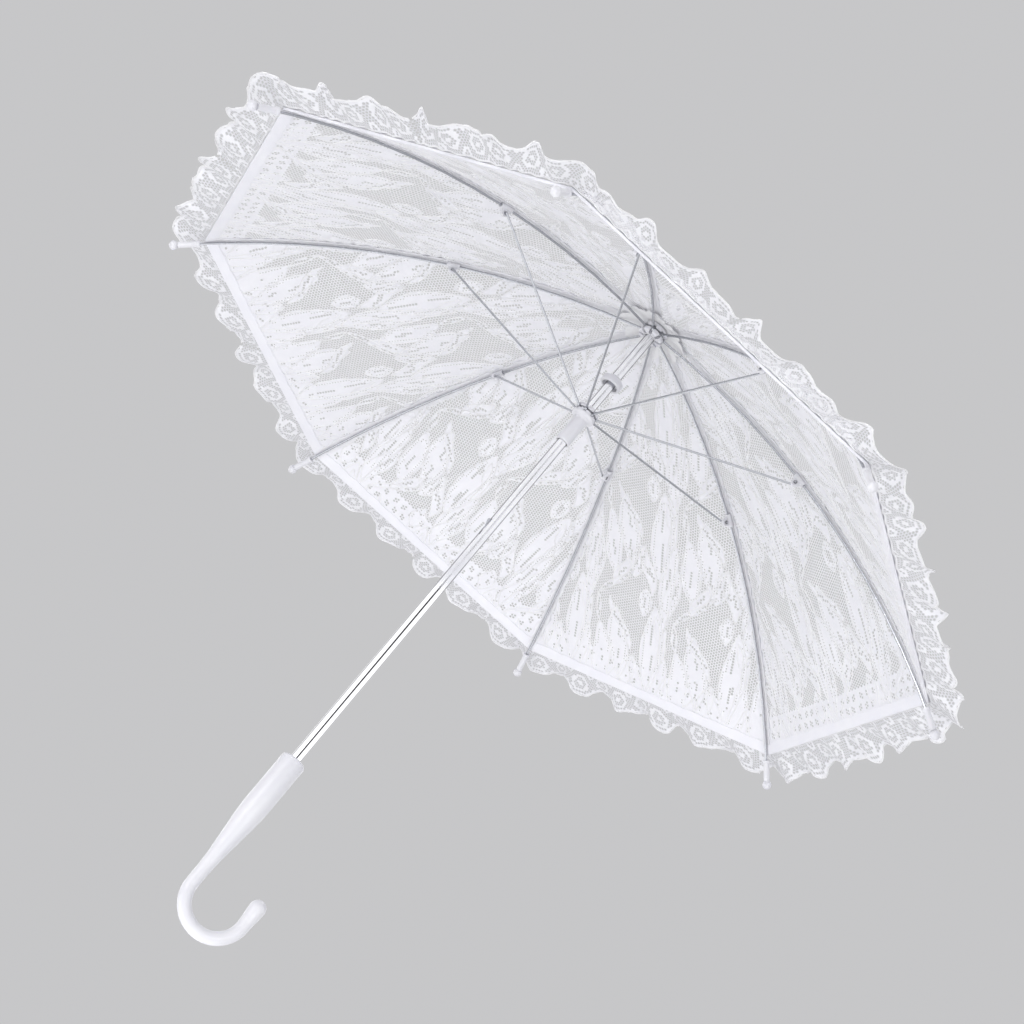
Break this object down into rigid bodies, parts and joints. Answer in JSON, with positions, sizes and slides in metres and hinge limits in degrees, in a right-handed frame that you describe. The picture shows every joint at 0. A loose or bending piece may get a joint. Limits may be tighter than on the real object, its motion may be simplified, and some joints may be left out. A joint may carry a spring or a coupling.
{
  "type": "lace parasol",
  "caption": "Open lace parasol with a crook handle; a runner on the tube shaft folds its wire ribs and gathered lace canopy down beside the shaft.",
  "frame": {"origin": "on the shaft's axis in the middle of the grip, where a hand holds it", "axes": "+Z along the shaft from the handle to the ferrule, +X to the side the crook opens to"},
  "size_m": [0.6246, 0.6246, 0.564],
  "materials": {
    "chrome_tube": "bright plated tube",
    "steel_wire": "bright drawn wire",
    "white_plastic": "satin moulded plastic",
    "lace": "woven net lace with satin threads",
    "lace_trim": "gathered scalloped net lace",
    "rosette_cloth": "matte plain cloth"
  },
  "bodies": {
    "root": {"shaft": "chrome_tube", "handle": "white_plastic", "notch": "white_plastic", "notch_wire": "steel_wire", "stop_collar": "white_plastic", "rosette": "rosette_cloth", "crown_cap": "white_plastic", "ferrule": "white_plastic"},
    "rib_1": {"rib_1": "steel_wire", "bracket_1": "white_plastic", "tip_cap_1": "white_plastic", "canopy_1": "lace", "ruffle_1": "lace_trim"},
    "stretcher_1": {"stretcher_1": "steel_wire"},
    "rib_2": {"rib_2": "steel_wire", "bracket_2": "white_plastic", "tip_cap_2": "white_plastic", "canopy_2": "lace", "ruffle_2": "lace_trim"},
    "stretcher_2": {"stretcher_2": "steel_wire"},
    "rib_3": {"rib_3": "steel_wire", "bracket_3": "white_plastic", "tip_cap_3": "white_plastic", "canopy_3": "lace", "ruffle_3": "lace_trim"},
    "stretcher_3": {"stretcher_3": "steel_wire"},
    "rib_4": {"rib_4": "steel_wire", "bracket_4": "white_plastic", "tip_cap_4": "white_plastic", "canopy_4": "lace", "ruffle_4": "lace_trim"},
    "stretcher_4": {"stretcher_4": "steel_wire"},
    "rib_5": {"rib_5": "steel_wire", "bracket_5": "white_plastic", "tip_cap_5": "white_plastic", "canopy_5": "lace", "ruffle_5": "lace_trim"},
    "stretcher_5": {"stretcher_5": "steel_wire"},
    "rib_6": {"rib_6": "steel_wire", "bracket_6": "white_plastic", "tip_cap_6": "white_plastic", "canopy_6": "lace", "ruffle_6": "lace_trim"},
    "stretcher_6": {"stretcher_6": "steel_wire"},
    "rib_7": {"rib_7": "steel_wire", "bracket_7": "white_plastic", "tip_cap_7": "white_plastic", "canopy_7": "lace", "ruffle_7": "lace_trim"},
    "stretcher_7": {"stretcher_7": "steel_wire"},
    "rib_8": {"rib_8": "steel_wire", "bracket_8": "white_plastic", "tip_cap_8": "white_plastic", "canopy_8": "lace", "ruffle_8": "lace_trim"},
    "stretcher_8": {"stretcher_8": "steel_wire"},
    "runner": {"runner": "white_plastic", "runner_wire": "steel_wire"},
    "upper_catch": {"upper_catch": "steel_wire"},
    "lower_catch": {"lower_catch": "steel_wire"}
  },
  "joints": [
    {"name": "rib_1_fold", "type": "hinge", "parent": "root", "child": "rib_1", "pos_m": [0.00647, 0.00268, 0.443], "axis": [-0.3827, 0.9239, 0], "range_deg": [0, 64], "deforming": ["canopy_1", "ruffle_1", "rosette", "upper_catch", "lower_catch"]},
    {"name": "stretcher_1_swing", "type": "hinge", "parent": "rib_1", "child": "stretcher_1", "pos_m": [0.13446, 0.0557, 0.40163], "axis": [-0.3827, 0.9239, 0], "range_deg": [-128, 0]},
    {"name": "rib_2_fold", "type": "hinge", "parent": "root", "child": "rib_2", "pos_m": [0.00268, 0.00647, 0.443], "axis": [-0.9239, 0.3827, 0], "range_deg": [0, 64], "deforming": ["canopy_2", "ruffle_2"]},
    {"name": "stretcher_2_swing", "type": "hinge", "parent": "rib_2", "child": "stretcher_2", "pos_m": [0.0557, 0.13446, 0.40163], "axis": [-0.9239, 0.3827, 0], "range_deg": [-128, 0]},
    {"name": "rib_3_fold", "type": "hinge", "parent": "root", "child": "rib_3", "pos_m": [-0.00268, 0.00647, 0.443], "axis": [-0.9239, -0.3827, 0], "range_deg": [0, 64], "deforming": ["canopy_3", "ruffle_3"]},
    {"name": "stretcher_3_swing", "type": "hinge", "parent": "rib_3", "child": "stretcher_3", "pos_m": [-0.0557, 0.13446, 0.40163], "axis": [-0.9239, -0.3827, 0], "range_deg": [-128, 0]},
    {"name": "rib_4_fold", "type": "hinge", "parent": "root", "child": "rib_4", "pos_m": [-0.00647, 0.00268, 0.443], "axis": [-0.3827, -0.9239, 0], "range_deg": [0, 64], "deforming": ["canopy_4", "ruffle_4"]},
    {"name": "stretcher_4_swing", "type": "hinge", "parent": "rib_4", "child": "stretcher_4", "pos_m": [-0.13446, 0.0557, 0.40163], "axis": [-0.3827, -0.9239, 0], "range_deg": [-128, 0]},
    {"name": "rib_5_fold", "type": "hinge", "parent": "root", "child": "rib_5", "pos_m": [-0.00647, -0.00268, 0.443], "axis": [0.3827, -0.9239, 0], "range_deg": [0, 64], "deforming": ["canopy_5", "ruffle_5"]},
    {"name": "stretcher_5_swing", "type": "hinge", "parent": "rib_5", "child": "stretcher_5", "pos_m": [-0.13446, -0.0557, 0.40163], "axis": [0.3827, -0.9239, 0], "range_deg": [-128, 0]},
    {"name": "rib_6_fold", "type": "hinge", "parent": "root", "child": "rib_6", "pos_m": [-0.00268, -0.00647, 0.443], "axis": [0.9239, -0.3827, 0], "range_deg": [0, 64], "deforming": ["canopy_6", "ruffle_6"]},
    {"name": "stretcher_6_swing", "type": "hinge", "parent": "rib_6", "child": "stretcher_6", "pos_m": [-0.0557, -0.13446, 0.40163], "axis": [0.9239, -0.3827, 0], "range_deg": [-128, 0]},
    {"name": "rib_7_fold", "type": "hinge", "parent": "root", "child": "rib_7", "pos_m": [0.00268, -0.00647, 0.443], "axis": [0.9239, 0.3827, 0], "range_deg": [0, 64], "deforming": ["canopy_7", "ruffle_7"]},
    {"name": "stretcher_7_swing", "type": "hinge", "parent": "rib_7", "child": "stretcher_7", "pos_m": [0.0557, -0.13446, 0.40163], "axis": [0.9239, 0.3827, 0], "range_deg": [-128, 0]},
    {"name": "rib_8_fold", "type": "hinge", "parent": "root", "child": "rib_8", "pos_m": [0.00647, -0.00268, 0.443], "axis": [0.3827, 0.9239, 0], "range_deg": [0, 64], "deforming": ["canopy_8", "ruffle_8"]},
    {"name": "stretcher_8_swing", "type": "hinge", "parent": "rib_8", "child": "stretcher_8", "pos_m": [0.13446, -0.0557, 0.40163], "axis": [0.3827, 0.9239, 0], "range_deg": [-128, 0]},
    {"name": "runner_slide", "type": "hinge", "parent": "stretcher_1", "child": "runner", "pos_m": [0.00647, 0.00268, 0.36027], "axis": [-0.3827, 0.9239, 0], "range_deg": [0, 64]},
    {"name": "upper_catch_press", "type": "hinge", "parent": "root", "child": "upper_catch", "pos_m": [0.00028, 0.00158, 0.31956], "axis": [-0.9848, 0.1736, 0], "range_deg": [-7.5, 0], "stiffness_Nm_per_rad": 0.25},
    {"name": "lower_catch_press", "type": "hinge", "parent": "root", "child": "lower_catch", "pos_m": [-0.0015, -0.00055, 0.2406], "axis": [0.342, -0.9397, 0], "range_deg": [-7.5, 0], "stiffness_Nm_per_rad": 0.25}
  ],
  "couplings": [
    {"joint": "stretcher_1_swing", "follows": "rib_1_fold", "ratio": -2},
    {"joint": "rib_2_fold", "follows": "rib_1_fold", "ratio": 1},
    {"joint": "stretcher_2_swing", "follows": "rib_1_fold", "ratio": -2},
    {"joint": "rib_3_fold", "follows": "rib_1_fold", "ratio": 1},
    {"joint": "stretcher_3_swing", "follows": "rib_1_fold", "ratio": -2},
    {"joint": "rib_4_fold", "follows": "rib_1_fold", "ratio": 1},
    {"joint": "stretcher_4_swing", "follows": "rib_1_fold", "ratio": -2},
    {"joint": "rib_5_fold", "follows": "rib_1_fold", "ratio": 1},
    {"joint": "stretcher_5_swing", "follows": "rib_1_fold", "ratio": -2},
    {"joint": "rib_6_fold", "follows": "rib_1_fold", "ratio": 1},
    {"joint": "stretcher_6_swing", "follows": "rib_1_fold", "ratio": -2},
    {"joint": "rib_7_fold", "follows": "rib_1_fold", "ratio": 1},
    {"joint": "stretcher_7_swing", "follows": "rib_1_fold", "ratio": -2},
    {"joint": "rib_8_fold", "follows": "rib_1_fold", "ratio": 1},
    {"joint": "stretcher_8_swing", "follows": "rib_1_fold", "ratio": -2},
    {"joint": "runner_slide", "follows": "rib_1_fold", "ratio": 1}
  ]
}
